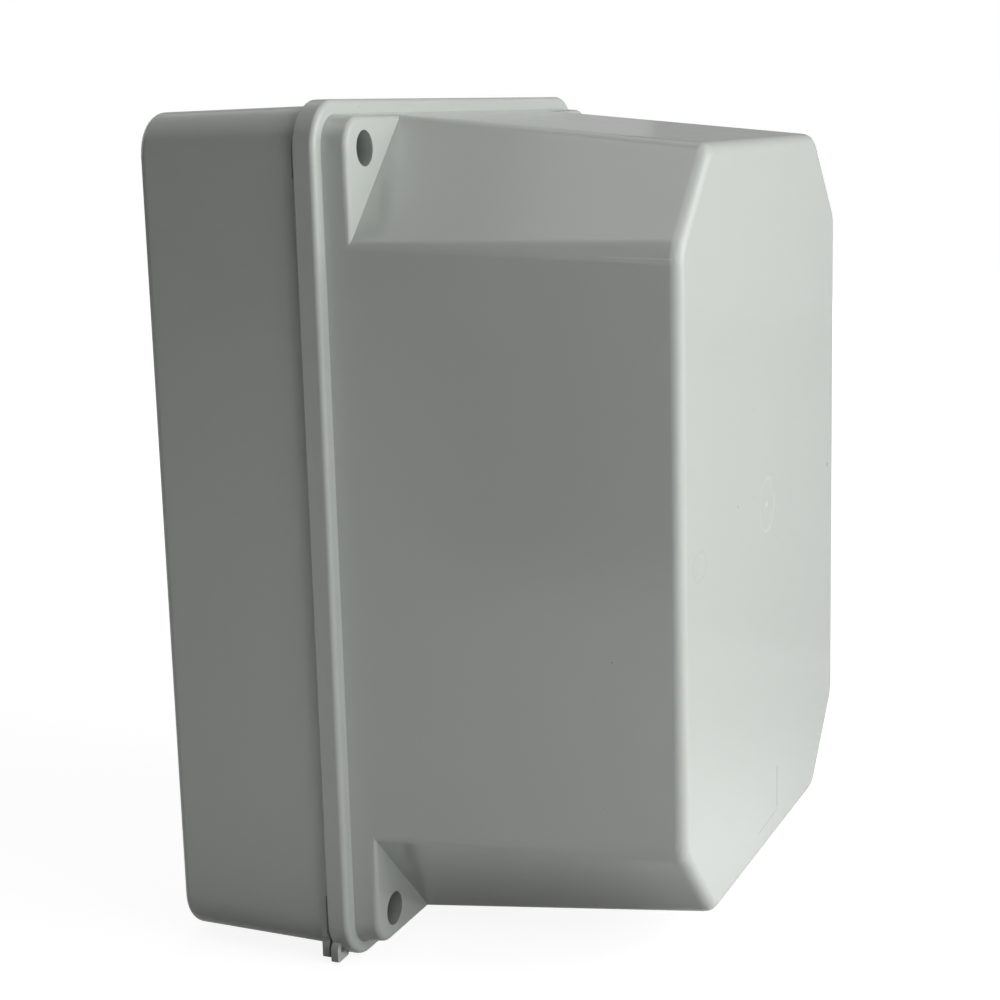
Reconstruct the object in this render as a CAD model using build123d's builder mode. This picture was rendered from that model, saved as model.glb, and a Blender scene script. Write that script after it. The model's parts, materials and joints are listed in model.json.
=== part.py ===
"""Wall-mounted electrical enclosure with a deep lid: base, lid, gasket and four quarter-turn lid screws."""
import os
from math import cos, radians, sin, sqrt

from build123d import *

# Driving dimensions in millimetres. X is the width, Z the height and Y the depth.
# The wall side is the plane Y = 0 and the front looks along -Y.

# Outline of the lid's flange, the largest outline of the box
flange_width = 202.0
flange_height = 255.0
flange_corner_radius = 14.5
flange_rounding = 2.2
skirt_depth = 6.4
skirt_wall = 2.4
skirt_overhang = 1.7
lip_wall = 1.8
ledge_width_sides = 4.7
ledge_width_ends = 4.1

# Deep body of the lid
body_height = 101.0
side_draft = 5.6
end_draft = 6.05
corner_draft = 4.9
corner_cut = 35.8
shoulder_corner_radius = 9.0
lid_wall = 2.8
edge_rounding = 4.5
front_rounding = 3.2
pad_height = 7.5
pad_rounding = 1.8

# Base
base_depth = 51.2
base_wall = 3.0
base_floor = 3.0
base_draft = 0.7
back_rounding = 3.0
floor_chamfer = 2.0
rim_height = 3.4

# Seal and fits between base and lid
gasket_thickness = 1.4
gasket_side_clearance = 0.3
rim_clearance = 0.3
parting_gap = 1.0

# Quarter-turn lid screws and the catch posts that hold them
screw_inset_x = 16.7
screw_inset_z = 13.8
well_diameter = 10.2
well_wall = 2.0
well_floor = 3.0
head_clearance = 0.4
head_height = 4.0
driver_slot_width = 1.6
driver_slot_depth = 2.2
shank_diameter = 6.0
shank_running_clearance = 0.1
screw_lug_length = 9.6
screw_lug_width = 3.4
screw_lug_height = 2.6
catch_clearance = 0.3
catch_thickness = 3.0
catch_turning_clearance = 0.7
catch_chamber_height = 7.0
catch_window_width = 7.0
post_wall = 2.0
post_to_well_gap = 1.2
post_rib_width = 3.0
well_rib_width = 2.0
well_rib_sink = 0.8

# Lug of the lid and tab of the base for a seal wire
seal_plate_size = 7.0
seal_plate_thickness = 2.3
seal_lug_inset = 0.8
seal_lug_chamfer = 2.4
seal_tab_chamfer = 1.6
seal_hole_diameter = 2.0
seal_hole_inset = 4.0

# Wall fixings and bosses for an inner mounting plate
fixing_spacing_x = 130.0
fixing_spacing_z = 210.0
fixing_hole_diameter = 5.2
plate_boss_spacing_x = 150.0
plate_boss_spacing_z = 160.0
plate_boss_diameter = 8.0
plate_boss_height = 6.0
plate_pilot_diameter = 3.0
plate_pilot_depth = 5.0

# Depths of the main planes, measured from the wall
skirt_rear = base_depth + parting_gap
ledge = skirt_rear + skirt_depth
pad = ledge + pad_height
front = ledge + body_height
rim_top = base_depth + rim_height
groove_floor = rim_top + gasket_thickness
well_end = base_depth + post_to_well_gap
well_seat = well_end + well_floor

# Outlines that follow from the flange
base_width = flange_width - 2 * skirt_overhang
base_height = flange_height - 2 * skirt_overhang
base_corner_radius = flange_corner_radius - skirt_overhang
groove_width = flange_width - 2 * skirt_wall
groove_height = flange_height - 2 * skirt_wall
groove_corner_radius = flange_corner_radius - skirt_wall
rim_width = groove_width - 2 * rim_clearance
rim_length = groove_height - 2 * rim_clearance
rim_corner_radius = groove_corner_radius - rim_clearance
hollow_width = base_width - 2 * base_wall
hollow_height = base_height - 2 * base_wall
hollow_corner_radius = base_corner_radius - base_wall
lip_width = hollow_width - 2 * rim_clearance
lip_height = hollow_height - 2 * rim_clearance
lip_corner_radius = hollow_corner_radius - rim_clearance
body_reach_x = flange_width / 2 - ledge_width_sides
body_reach_z = flange_height / 2 - ledge_width_ends
corner_reach = (body_reach_x + body_reach_z - corner_cut) / sqrt(2)

screw_x = flange_width / 2 - screw_inset_x
screw_z = flange_height / 2 - screw_inset_z
screw_spacing_x = 2 * screw_x
screw_spacing_z = 2 * screw_z
well_outer_diameter = well_diameter + 2 * well_wall
shank_hole_diameter = shank_diameter + 2 * shank_running_clearance
screw_lug_top = base_depth - catch_thickness - catch_clearance
well_rib_reach_x = lip_width / 2 - well_rib_sink
well_rib_reach_z = lip_height / 2 - well_rib_sink
chamber_diameter = screw_lug_length + 2 * catch_turning_clearance
post_diameter = chamber_diameter + 2 * post_wall
seal_hole_x = -flange_width / 2 + seal_hole_inset
seal_hole_z = -flange_height / 2 + seal_hole_inset

os.makedirs("parts", exist_ok=True)


def plane_at(depth):
    """The plane at a depth from the wall, with X to the right, Z up and its normal to the front."""
    return Plane.XZ.offset(depth)


def wall_plane(outward, reach, draft, wall):
    """The plane of one drafted wall of the lid's body, shifted inwards by a wall's thickness.

    outward is the wall's direction, and reach is how far out it lies where it meets the ledge.
    """
    normal = outward * cos(radians(draft)) + Vector(0, -1, 0) * sin(radians(draft))
    origin = outward * reach + Vector(0, -ledge, 0) - normal * wall
    return Plane(origin=origin, z_dir=normal)


def drafted_block(start, end, wall):
    """The lid's body between two depths, cut by its two sides and two ends."""
    with BuildPart() as block:
        with BuildSketch(plane_at(start)):
            Rectangle(flange_width, flange_height)
        extrude(amount=end - start)
        for side in (-1, 1):
            split(bisect_by=wall_plane(Vector(side, 0, 0), body_reach_x, side_draft, wall), keep=Keep.BOTTOM)
            split(bisect_by=wall_plane(Vector(0, 0, side), body_reach_z, end_draft, wall), keep=Keep.BOTTOM)
    return block.part


def depth_edges(block):
    """The long edges of a block, which run from the wall side to the front."""
    return block.edges().filter_by(lambda edge: abs(edge.tangent_at(0.5).Y) > 0.5)


def body_block(start, end, wall):
    """The deep body of the lid with its four corners cut off and the long edges rounded."""
    with BuildPart() as block:
        add(drafted_block(start, end, wall))
        for side_x in (-1, 1):
            for side_z in (-1, 1):
                outward = Vector(side_x, 0, side_z).normalized()
                split(bisect_by=wall_plane(outward, corner_reach, corner_draft, wall), keep=Keep.BOTTOM)
        fillet(depth_edges(block), edge_rounding)
    return block.part


def shoulder_block(start, end, wall):
    """The lid's body below its pads, with whole rounded corners."""
    with BuildPart() as block:
        add(drafted_block(start, end, wall))
        fillet(depth_edges(block), shoulder_corner_radius)
    return block.part


def seal_plate(depth, width, height, corner_chamfer):
    """Square plate that fills the lower left corner of an outline, with its outer corner cut off."""
    with BuildPart() as plate:
        with BuildSketch(plane_at(depth)) as outline:
            with Locations((-width / 2, -height / 2)):
                Rectangle(seal_plate_size, seal_plate_size, align=(Align.MIN, Align.MIN))
            chamfer(outline.vertices().sort_by(Axis((0, 0, 0), (1, 0, 1)))[0], corner_chamfer)
        extrude(amount=seal_plate_thickness)
    return plate.part


# Base: drafted shell with a stepped rim, a seal tab, four catch posts, plate bosses and wall holes
with BuildPart() as base:
    with BuildSketch(plane_at(base_depth)):
        RectangleRounded(base_width, base_height, base_corner_radius)
    extrude(amount=-base_depth, taper=base_draft)
    fillet(base.faces().sort_by(Axis.Y)[-1].edges(), back_rounding)
    with BuildSketch(plane_at(base_depth)):
        RectangleRounded(rim_width, rim_length, rim_corner_radius)
    extrude(amount=rim_height)
    add(seal_plate(base_depth - seal_plate_thickness, base_width, base_height, seal_tab_chamfer))
    with BuildSketch(plane_at(rim_top)):
        RectangleRounded(hollow_width, hollow_height, hollow_corner_radius)
    extrude(amount=base_floor - rim_top, taper=base_draft, mode=Mode.SUBTRACT)
    hollow_floor = base.faces().filter_by(Axis.Y).sort_by(Axis.Y)[-2]
    chamfer(hollow_floor.edges(), floor_chamfer)
    # Catch posts, each tied to both walls of its corner by a rib
    with BuildSketch(plane_at(base_floor)):
        for side_x in (-1, 1):
            for side_z in (-1, 1):
                with Locations((side_x * screw_x, side_z * screw_z)):
                    Circle(post_diameter / 2)
                with Locations((side_x * (screw_x + hollow_width / 2) / 2, side_z * screw_z)):
                    Rectangle(hollow_width / 2 - screw_x + base_wall, post_rib_width)
                with Locations((side_x * screw_x, side_z * (screw_z + hollow_height / 2) / 2)):
                    Rectangle(post_rib_width, hollow_height / 2 - screw_z + base_wall)
    extrude(amount=base_depth - base_floor)
    # Keyed slot, turning chamber and inward window of each catch
    with BuildSketch(plane_at(base_depth)):
        with GridLocations(screw_spacing_x, screw_spacing_z, 2, 2):
            Circle(shank_diameter / 2 + catch_clearance)
            Rectangle(screw_lug_length + 2 * catch_clearance, screw_lug_width + 2 * catch_clearance)
    extrude(amount=-catch_thickness, mode=Mode.SUBTRACT)
    with BuildSketch(plane_at(base_depth - catch_thickness)):
        for side_x in (-1, 1):
            for side_z in (-1, 1):
                with Locations((side_x * screw_x, side_z * screw_z)):
                    Circle(chamber_diameter / 2)
                with Locations((side_x * (screw_x - post_diameter / 2), side_z * screw_z)):
                    Rectangle(post_diameter, catch_window_width)
    extrude(amount=-catch_chamber_height, mode=Mode.SUBTRACT)
    # Bosses for a mounting plate, and the wall fixing holes
    with BuildSketch(plane_at(base_floor)):
        with GridLocations(plate_boss_spacing_x, plate_boss_spacing_z, 2, 2):
            Circle(plate_boss_diameter / 2)
    extrude(amount=plate_boss_height)
    with BuildSketch(plane_at(base_floor + plate_boss_height)):
        with GridLocations(plate_boss_spacing_x, plate_boss_spacing_z, 2, 2):
            Circle(plate_pilot_diameter / 2)
    extrude(amount=-plate_pilot_depth, mode=Mode.SUBTRACT)
    with BuildSketch(plane_at(0)):
        with GridLocations(fixing_spacing_x, fixing_spacing_z, 2, 2):
            Circle(fixing_hole_diameter / 2)
    extrude(amount=base_floor, mode=Mode.SUBTRACT)
    with BuildSketch(plane_at(base_depth)):
        with Locations((seal_hole_x, seal_hole_z)):
            Circle(seal_hole_diameter / 2)
    extrude(amount=-seal_plate_thickness, mode=Mode.SUBTRACT)
base.part.label = "base"
export_step(base.part, "parts/base.step")

# Lid, outside: flange with a skirt, shoulder with the four pads, and the deep body with its corners cut off
with BuildPart() as lid_flange:
    with BuildSketch(plane_at(skirt_rear)):
        RectangleRounded(flange_width, flange_height, flange_corner_radius)
    extrude(amount=skirt_depth)
    fillet(lid_flange.faces().sort_by(Axis.Y)[0].edges(), flange_rounding)

with BuildPart() as lid_shoulder:
    add(shoulder_block(ledge - flange_rounding, pad, 0))
    fillet(lid_shoulder.faces().sort_by(Axis.Y)[0].edges(), pad_rounding)

with BuildPart() as lid_body:
    add(body_block(ledge, front, 0))
    fillet(lid_body.faces().sort_by(Axis.Y)[0].edges(), front_rounding)

# Lid, inside: drafted hollow behind every wall, then the screw wells that hang from the pads
with BuildPart() as lid:
    add(lid_flange.part)
    add(lid_shoulder.part)
    add(lid_body.part)
    add(
        seal_plate(
            skirt_rear,
            flange_width - 2 * seal_lug_inset,
            flange_height - 2 * seal_lug_inset,
            seal_lug_chamfer,
        )
    )
    with BuildSketch(plane_at(skirt_rear)):
        RectangleRounded(groove_width, groove_height, groove_corner_radius)
        RectangleRounded(lip_width, lip_height, lip_corner_radius, mode=Mode.SUBTRACT)
    extrude(amount=groove_floor - skirt_rear, mode=Mode.SUBTRACT)
    with BuildSketch(plane_at(skirt_rear)):
        RectangleRounded(lip_width - 2 * lip_wall, lip_height - 2 * lip_wall, lip_corner_radius - lip_wall)
    extrude(amount=skirt_depth, mode=Mode.SUBTRACT)
    add(shoulder_block(ledge, pad - lid_wall, lid_wall), mode=Mode.SUBTRACT)
    add(body_block(ledge, front - lid_wall, lid_wall), mode=Mode.SUBTRACT)
    with BuildSketch(plane_at(well_end)):
        for side_x in (-1, 1):
            for side_z in (-1, 1):
                with Locations((side_x * screw_x, side_z * screw_z)):
                    Circle(well_outer_diameter / 2)
                with Locations((side_x * (screw_x + well_rib_reach_x) / 2, side_z * screw_z)):
                    Rectangle(well_rib_reach_x - screw_x, well_rib_width)
                with Locations((side_x * screw_x, side_z * (screw_z + well_rib_reach_z) / 2)):
                    Rectangle(well_rib_width, well_rib_reach_z - screw_z)
    extrude(amount=pad - lid_wall / 2 - well_end)
    with BuildSketch(plane_at(well_seat)):
        with GridLocations(screw_spacing_x, screw_spacing_z, 2, 2):
            Circle(well_diameter / 2)
    extrude(amount=pad - well_seat, mode=Mode.SUBTRACT)
    with BuildSketch(plane_at(well_end)):
        with GridLocations(screw_spacing_x, screw_spacing_z, 2, 2):
            Circle(shank_hole_diameter / 2)
    extrude(amount=well_floor, mode=Mode.SUBTRACT)
    with BuildSketch(plane_at(skirt_rear)):
        with Locations((seal_hole_x, seal_hole_z)):
            Circle(seal_hole_diameter / 2)
    extrude(amount=seal_plate_thickness, mode=Mode.SUBTRACT)
lid.part.label = "lid"
export_step(lid.part, "parts/lid.step")

# Gasket on the floor of the lid's groove, where the rim of the base presses on it
with BuildPart() as lid_gasket:
    with BuildSketch(plane_at(rim_top)):
        RectangleRounded(
            groove_width - 2 * gasket_side_clearance,
            groove_height - 2 * gasket_side_clearance,
            groove_corner_radius - gasket_side_clearance,
        )
        RectangleRounded(
            lip_width + 2 * gasket_side_clearance,
            lip_height + 2 * gasket_side_clearance,
            lip_corner_radius + gasket_side_clearance,
            mode=Mode.SUBTRACT,
        )
    extrude(amount=gasket_thickness)
lid_gasket.part.label = "lid_gasket"
export_step(lid_gasket.part, "parts/lid_gasket.step")

# Quarter-turn screws: slotted head on the floor of the well, shank, and two lugs under the catch
screw_places = {
    "top_left": (-screw_x, screw_z),
    "top_right": (screw_x, screw_z),
    "bottom_left": (-screw_x, -screw_z),
    "bottom_right": (screw_x, -screw_z),
}
for place, (x, z) in screw_places.items():
    with BuildPart() as lid_screw:
        with BuildSketch(plane_at(well_seat)):
            with Locations((x, z)):
                Circle(well_diameter / 2 - head_clearance)
        extrude(amount=head_height)
        with BuildSketch(plane_at(well_seat + head_height)):
            with Locations((x, z)):
                Rectangle(well_diameter, driver_slot_width)
        extrude(amount=-driver_slot_depth, mode=Mode.SUBTRACT)
        with BuildSketch(plane_at(screw_lug_top)):
            with Locations((x, z)):
                Circle(shank_diameter / 2)
        extrude(amount=well_seat - screw_lug_top)
        with BuildSketch(plane_at(screw_lug_top)):
            with Locations((x, z)):
                Circle(shank_diameter / 2)
                Rectangle(screw_lug_length, screw_lug_width)
        extrude(amount=-screw_lug_height)
    name = f"lid_screw_{place}"
    lid_screw.part.label = name
    export_step(lid_screw.part, f"parts/{name}.step")
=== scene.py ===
"""Looks of the wall-mounted enclosure: moulded shells, lid screws, gasket, studio light and camera."""

import json
import logging
import math
from dataclasses import dataclass
from enum import Enum
from typing import Any, Callable

import bmesh
import bpy
from mathutils import Matrix, Vector

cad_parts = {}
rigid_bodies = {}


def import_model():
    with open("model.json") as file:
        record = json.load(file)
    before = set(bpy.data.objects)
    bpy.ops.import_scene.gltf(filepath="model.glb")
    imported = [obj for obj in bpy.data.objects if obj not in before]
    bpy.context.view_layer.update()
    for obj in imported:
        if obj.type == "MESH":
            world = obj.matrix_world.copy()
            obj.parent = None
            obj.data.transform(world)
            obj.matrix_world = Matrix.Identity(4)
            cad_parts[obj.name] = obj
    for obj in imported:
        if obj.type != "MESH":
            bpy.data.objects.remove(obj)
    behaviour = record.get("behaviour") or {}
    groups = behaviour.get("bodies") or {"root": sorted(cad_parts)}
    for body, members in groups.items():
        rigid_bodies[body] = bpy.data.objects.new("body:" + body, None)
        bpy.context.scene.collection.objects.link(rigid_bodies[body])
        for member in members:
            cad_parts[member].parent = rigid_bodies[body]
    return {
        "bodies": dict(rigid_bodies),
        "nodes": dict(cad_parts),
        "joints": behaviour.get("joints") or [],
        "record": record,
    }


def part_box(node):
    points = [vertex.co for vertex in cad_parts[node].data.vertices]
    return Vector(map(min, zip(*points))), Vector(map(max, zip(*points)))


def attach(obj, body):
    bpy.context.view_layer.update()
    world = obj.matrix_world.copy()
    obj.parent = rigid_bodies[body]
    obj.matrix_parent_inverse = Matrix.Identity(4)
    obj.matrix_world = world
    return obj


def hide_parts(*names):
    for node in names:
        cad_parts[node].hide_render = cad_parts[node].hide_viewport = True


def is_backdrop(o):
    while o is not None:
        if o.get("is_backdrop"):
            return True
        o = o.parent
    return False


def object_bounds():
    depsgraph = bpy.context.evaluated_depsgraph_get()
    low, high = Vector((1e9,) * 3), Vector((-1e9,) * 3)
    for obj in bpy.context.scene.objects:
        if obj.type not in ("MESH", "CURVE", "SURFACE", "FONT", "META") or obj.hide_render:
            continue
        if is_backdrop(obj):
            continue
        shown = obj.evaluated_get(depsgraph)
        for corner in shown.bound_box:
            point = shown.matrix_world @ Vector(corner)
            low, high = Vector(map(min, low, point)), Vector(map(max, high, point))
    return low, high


LOG = logging.getLogger("enclosure")
MM = 0.001
TOUCH = 0.001 * MM
WHITE = (1.0, 1.0, 1.0, 1.0)

Colour = tuple[float, float, float]
Place = tuple[float, float, float]
Frame = dict[str, Any]


class Corner(Enum):
    """The four corners of the lid, each with its signs along X and Z."""

    TOP_LEFT = (-1, 1)
    TOP_RIGHT = (1, 1)
    BOTTOM_LEFT = (-1, -1)
    BOTTOM_RIGHT = (1, -1)

    @property
    def screw(self) -> str:
        """Name of the node and of the body of the lid screw in this corner."""
        return f"lid_screw_{self.name.lower()}"


class Slot(Enum):
    """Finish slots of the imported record."""

    HOUSING = "housing"
    GASKET = "gasket"
    SCREW = "screw"


class Element(Enum):
    """Kinds of mesh element that can be selected, each with its list in an open mesh."""

    EDGE = "edges"
    FACE = "faces"


class Tree:
    """Small helper that adds and joins the nodes of one node tree."""

    def __init__(self, tree: bpy.types.NodeTree) -> None:
        """Keeps the node tree of a material, a world or a group, and clears it."""
        self.tree = tree
        tree.nodes.clear()

    def add(self, kind: str, inputs: dict[Any, Any] | None = None, **settings: Any) -> bpy.types.Node:
        """Adds a node.

        Args:
            kind: type name of the node.
            inputs: values or output sockets by input name or number.
            settings: plain settings of the node.

        Returns:
            The new node.
        """
        node = self.tree.nodes.new(kind)
        for name, value in settings.items():
            setattr(node, name, value)
        for key, value in (inputs or {}).items():
            if isinstance(value, bpy.types.NodeSocket):
                self.tree.links.new(value, node.inputs[key])
            else:
                node.inputs[key].default_value = value
        return node

    def first(self, kind: str, inputs: dict[Any, Any]) -> bpy.types.NodeSocket:
        """Adds a node and returns its first output socket."""
        return self.add(kind, inputs).outputs[0]

    def place(self) -> bpy.types.NodeSocket:
        """Adds the Object coordinates and returns their socket."""
        return self.add("ShaderNodeTexCoord").outputs["Object"]

    def axes(self) -> Any:
        """Adds the Object coordinates and returns their sockets one by one."""
        return self.add("ShaderNodeSeparateXYZ", {0: self.place()}).outputs

    def rays(self) -> tuple[bpy.types.NodeSocket, bpy.types.NodeSocket]:
        """Adds two factors: one for camera rays, one for glossy and transmission rays."""
        path = self.add("ShaderNodeLightPath").outputs
        bounced = self.math("MAXIMUM", path["Is Glossy Ray"], path["Is Transmission Ray"])
        return path["Is Camera Ray"], bounced

    def math(self, operation: str, *values: Any) -> bpy.types.NodeSocket:
        """Adds a math node and returns its result socket."""
        return self.add("ShaderNodeMath", dict(enumerate(values)), operation=operation).outputs[0]

    def vector(self, operation: str, *values: Any) -> bpy.types.Node:
        """Adds a vector math node and returns it."""
        return self.add("ShaderNodeVectorMath", dict(enumerate(values)), operation=operation)

    def mix(self, factor: Any, first: Any, second: Any) -> bpy.types.NodeSocket:
        """Adds a colour mix and returns its result socket."""
        return self.add("ShaderNodeMix", {0: factor, 6: first, 7: second}, data_type="RGBA").outputs[2]

    def remap(self, value: Any, low: Any, high: Any, to_low: Any, to_high: Any) -> bpy.types.NodeSocket:
        """Maps a value from one clamped range to another, smoothly, and returns the result socket."""
        inputs = {0: value, 1: low, 2: high, 3: to_low, 4: to_high}
        return self.add("ShaderNodeMapRange", inputs, interpolation_type="SMOOTHSTEP").outputs[0]

    def noise(self, place: Any, scale: Any, detail: float) -> bpy.types.NodeSocket:
        """Adds a noise texture and returns its value socket."""
        return self.first("ShaderNodeTexNoise", {"Vector": place, "Scale": scale, "Detail": detail})


class SurfaceGroup:
    """A shader node group that is built once and placed in several materials."""

    name: str = ""
    takes: tuple[tuple[str, str], ...] = ()
    gives: tuple[tuple[str, str], ...] = ()

    @classmethod
    def group(cls) -> bpy.types.NodeTree:
        """Builds the node group, or finds it if it is there."""
        found = bpy.data.node_groups.get(cls.name)
        if found:
            return found
        made = bpy.data.node_groups.new(cls.name, "ShaderNodeTree")
        for label, kind in cls.takes:
            made.interface.new_socket(label, in_out="INPUT", socket_type=f"NodeSocket{kind}")
        for label, kind in cls.gives:
            made.interface.new_socket(label, in_out="OUTPUT", socket_type=f"NodeSocket{kind}")
        tree = Tree(made)
        cls.fill(tree, tree.add("NodeGroupInput").outputs)
        return made

    @classmethod
    def placed(cls, tree: Tree, inputs: dict[str, Any]) -> bpy.types.Node:
        """Places the group in a node tree, with values or sockets by input name, and returns its node."""
        return tree.add("ShaderNodeGroup", inputs, node_tree=cls.group())

    @classmethod
    def fill(cls, tree: Tree, given: Any) -> None:
        """Adds the nodes of the group; each kind of group has its own."""
        raise NotImplementedError


class MouldGrain(SurfaceGroup):
    """Moulded surface: cloudy tint, dust specks, uneven gloss, fine grain and a slow swell."""

    name = "mould_grain"
    takes = (
        ("Vector", "Vector"),
        ("Color", "Color"),
        ("Speck Color", "Color"),
        ("Tint", "Float"),
        ("Roughness", "Float"),
        ("Gloss Patches", "Float"),
        ("Grain Scale", "Float"),
        ("Specks", "Float"),
    )
    gives = (("Color", "Color"), ("Roughness", "Float"), ("Height", "Float"))
    cloud_scale = 16.0
    patch_scale = 60.0
    swell_scale = 30.0
    speck_scale = 180.0
    speck_edge = (0.025, 0.05)
    grain_share = 0.12

    @classmethod
    def fill(cls, tree: Tree, given: Any) -> None:
        """Adds the nodes of the group.

        Args:
            tree: helper on the empty group.
            given: sockets of the group's inputs.
        """
        place = given["Vector"]
        clouds = tree.noise(place, cls.cloud_scale, 3.0)
        patches = tree.noise(place, cls.patch_scale, 4.0)
        grain = tree.noise(place, given["Grain Scale"], 2.0)
        swell = tree.noise(place, cls.swell_scale, 1.0)
        cells = tree.add("ShaderNodeTexVoronoi", {"Vector": place, "Scale": cls.speck_scale})
        shift = tree.math("MULTIPLY", tree.math("SUBTRACT", clouds, 0.5), given["Tint"])
        value = tree.math("ADD", 1.0, shift)
        tinted = tree.first("ShaderNodeHueSaturation", {"Value": value, "Color": given["Color"]})
        pick = tree.first("ShaderNodeSeparateColor", {0: cells.outputs["Color"]})
        chosen = tree.math("LESS_THAN", pick, given["Specks"])
        dot = tree.remap(cells.outputs["Distance"], *cls.speck_edge, 1.0, 0.0)
        color = tree.mix(tree.math("MULTIPLY", dot, chosen), tinted, given["Speck Color"])
        uneven = tree.math("MULTIPLY", tree.math("SUBTRACT", patches, 0.5), given["Gloss Patches"])
        rough = tree.math("ADD", given["Roughness"], uneven)
        height = tree.math("ADD", tree.math("MULTIPLY", grain, cls.grain_share), swell)
        tree.add("NodeGroupOutput", {"Color": color, "Roughness": rough, "Height": height})


class MarkMask(SurfaceGroup):
    """A group that gives the mask of one kind of mark."""

    gives = (("Mask", "Float"),)

    @classmethod
    def fill(cls, tree: Tree, given: Any) -> None:
        """Adds the nodes of the group, from the sockets of its inputs."""
        tree.add("NodeGroupOutput", {"Mask": cls.mask(tree, given)})

    @classmethod
    def mask(cls, tree: Tree, given: Any) -> bpy.types.NodeSocket:
        """Adds the nodes of the mask and returns its socket; each kind of mark has its own."""
        raise NotImplementedError


class HairlineMask(MarkMask):
    """Mask of a fine straight line on the surface."""

    name = "hairline_mask"
    takes = (("Vector", "Vector"), ("Start", "Vector"), ("Run", "Vector"), ("Width", "Float"))

    @classmethod
    def mask(cls, tree: Tree, given: Any) -> bpy.types.NodeSocket:
        """Fades with the distance from the line."""
        run = given["Run"]
        away = tree.vector("SUBTRACT", given["Vector"], given["Start"]).outputs[0]
        along = tree.vector("DOT_PRODUCT", away, run).outputs[1]
        whole = tree.vector("DOT_PRODUCT", run, run).outputs[1]
        share = tree.math("MINIMUM", tree.math("MAXIMUM", tree.math("DIVIDE", along, whole), 0.0), 1.0)
        foot = tree.add("ShaderNodeVectorMath", {0: run, "Scale": share}, operation="SCALE").outputs[0]
        gap = tree.vector("DISTANCE", away, foot).outputs[1]
        return tree.remap(gap, 0.0, given["Width"], 1.0, 0.0)


class RingMask(MarkMask):
    """Mask of a soft ring on the surface."""

    name = "ring_mask"
    takes = (
        ("Vector", "Vector"),
        ("Centre", "Vector"),
        ("Stretch", "Vector"),
        ("Radius", "Float"),
        ("Width", "Float"),
    )

    @classmethod
    def mask(cls, tree: Tree, given: Any) -> bpy.types.NodeSocket:
        """Fades with the distance from the ring's middle line."""
        away = tree.vector("SUBTRACT", given["Vector"], given["Centre"]).outputs[0]
        pulled = tree.vector("MULTIPLY", away, given["Stretch"]).outputs[0]
        reach = tree.vector("LENGTH", pulled).outputs[1]
        gap = tree.math("ABSOLUTE", tree.math("SUBTRACT", reach, given["Radius"]))
        return tree.remap(gap, 0.0, given["Width"], 1.0, 0.0)


class PitMask(MarkMask):
    """Mask of painted shade that grows with the depth of a round pit that opens to the front."""

    name = "pit_mask"
    takes = (("Vector", "Vector"), ("Mouth", "Vector"), ("Radius", "Float"), ("Depth", "Float"))

    @classmethod
    def mask(cls, tree: Tree, given: Any) -> bpy.types.NodeSocket:
        """Grows with the depth, inside the radius only."""
        away = tree.vector("SUBTRACT", given["Vector"], given["Mouth"]).outputs[0]
        level = tree.vector("MULTIPLY", away, (1.0, 0.0, 1.0)).outputs[0]
        reach = tree.vector("LENGTH", level).outputs[1]
        inside = tree.math("LESS_THAN", reach, given["Radius"])
        sunk = tree.vector("DOT_PRODUCT", away, (0.0, 1.0, 0.0)).outputs[1]
        deep = tree.remap(sunk, 0.0, given["Depth"], 0.0, 1.0)
        return tree.math("MULTIPLY", inside, deep)


class Mark:
    """A mark on a moulded face, laid on through the mask of its group."""

    group: type[MarkMask] = MarkMask

    def inputs(self) -> dict[str, Any]:
        """Inputs of the mark's group; each kind of mark has its own."""
        raise NotImplementedError

    def mask(self, tree: Tree, place: bpy.types.NodeSocket) -> bpy.types.NodeSocket:
        """Adds the mark's mask to a material, at its Object coordinates, and returns its socket."""
        return self.group.placed(tree, {"Vector": place, **self.inputs()}).outputs[0]


@dataclass(frozen=True)
class Hairline(Mark):
    """A fine line left on a moulded face, darker or lighter than the face."""

    start: Place
    end: Place
    width: float
    shade: Colour
    strength: float
    lift: float = 0.0
    group = HairlineMask

    def inputs(self) -> dict[str, Any]:
        """Where the line starts, how it runs and how wide it is."""
        return {"Start": self.start, "Run": Vector(self.end) - Vector(self.start), "Width": self.width}


@dataclass(frozen=True)
class Ring(Mark):
    """A faint round or oval mark on a moulded face; with no radius it is a dot."""

    centre: Place
    radius: float
    width: float
    shade: Colour
    strength: float
    lift: float = 0.0
    stretch: Place = (1.0, 1.0, 1.0)
    group = RingMask

    def inputs(self) -> dict[str, Any]:
        """Where the ring lies, and its form and size."""
        size = {"Radius": self.radius, "Width": self.width}
        return {"Centre": self.centre, "Stretch": self.stretch, **size}


@dataclass(frozen=True)
class WellDust(Mark):
    """Painted shade that darkens a screw well, more so further down."""

    mouth: Place
    radius: float
    depth: float
    shade: Colour
    strength: float
    lift: float = 0.0
    group = PitMask

    def inputs(self) -> dict[str, Any]:
        """Where the well opens, and its size."""
        return {"Mouth": self.mouth, "Radius": self.radius, "Depth": self.depth}


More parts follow.
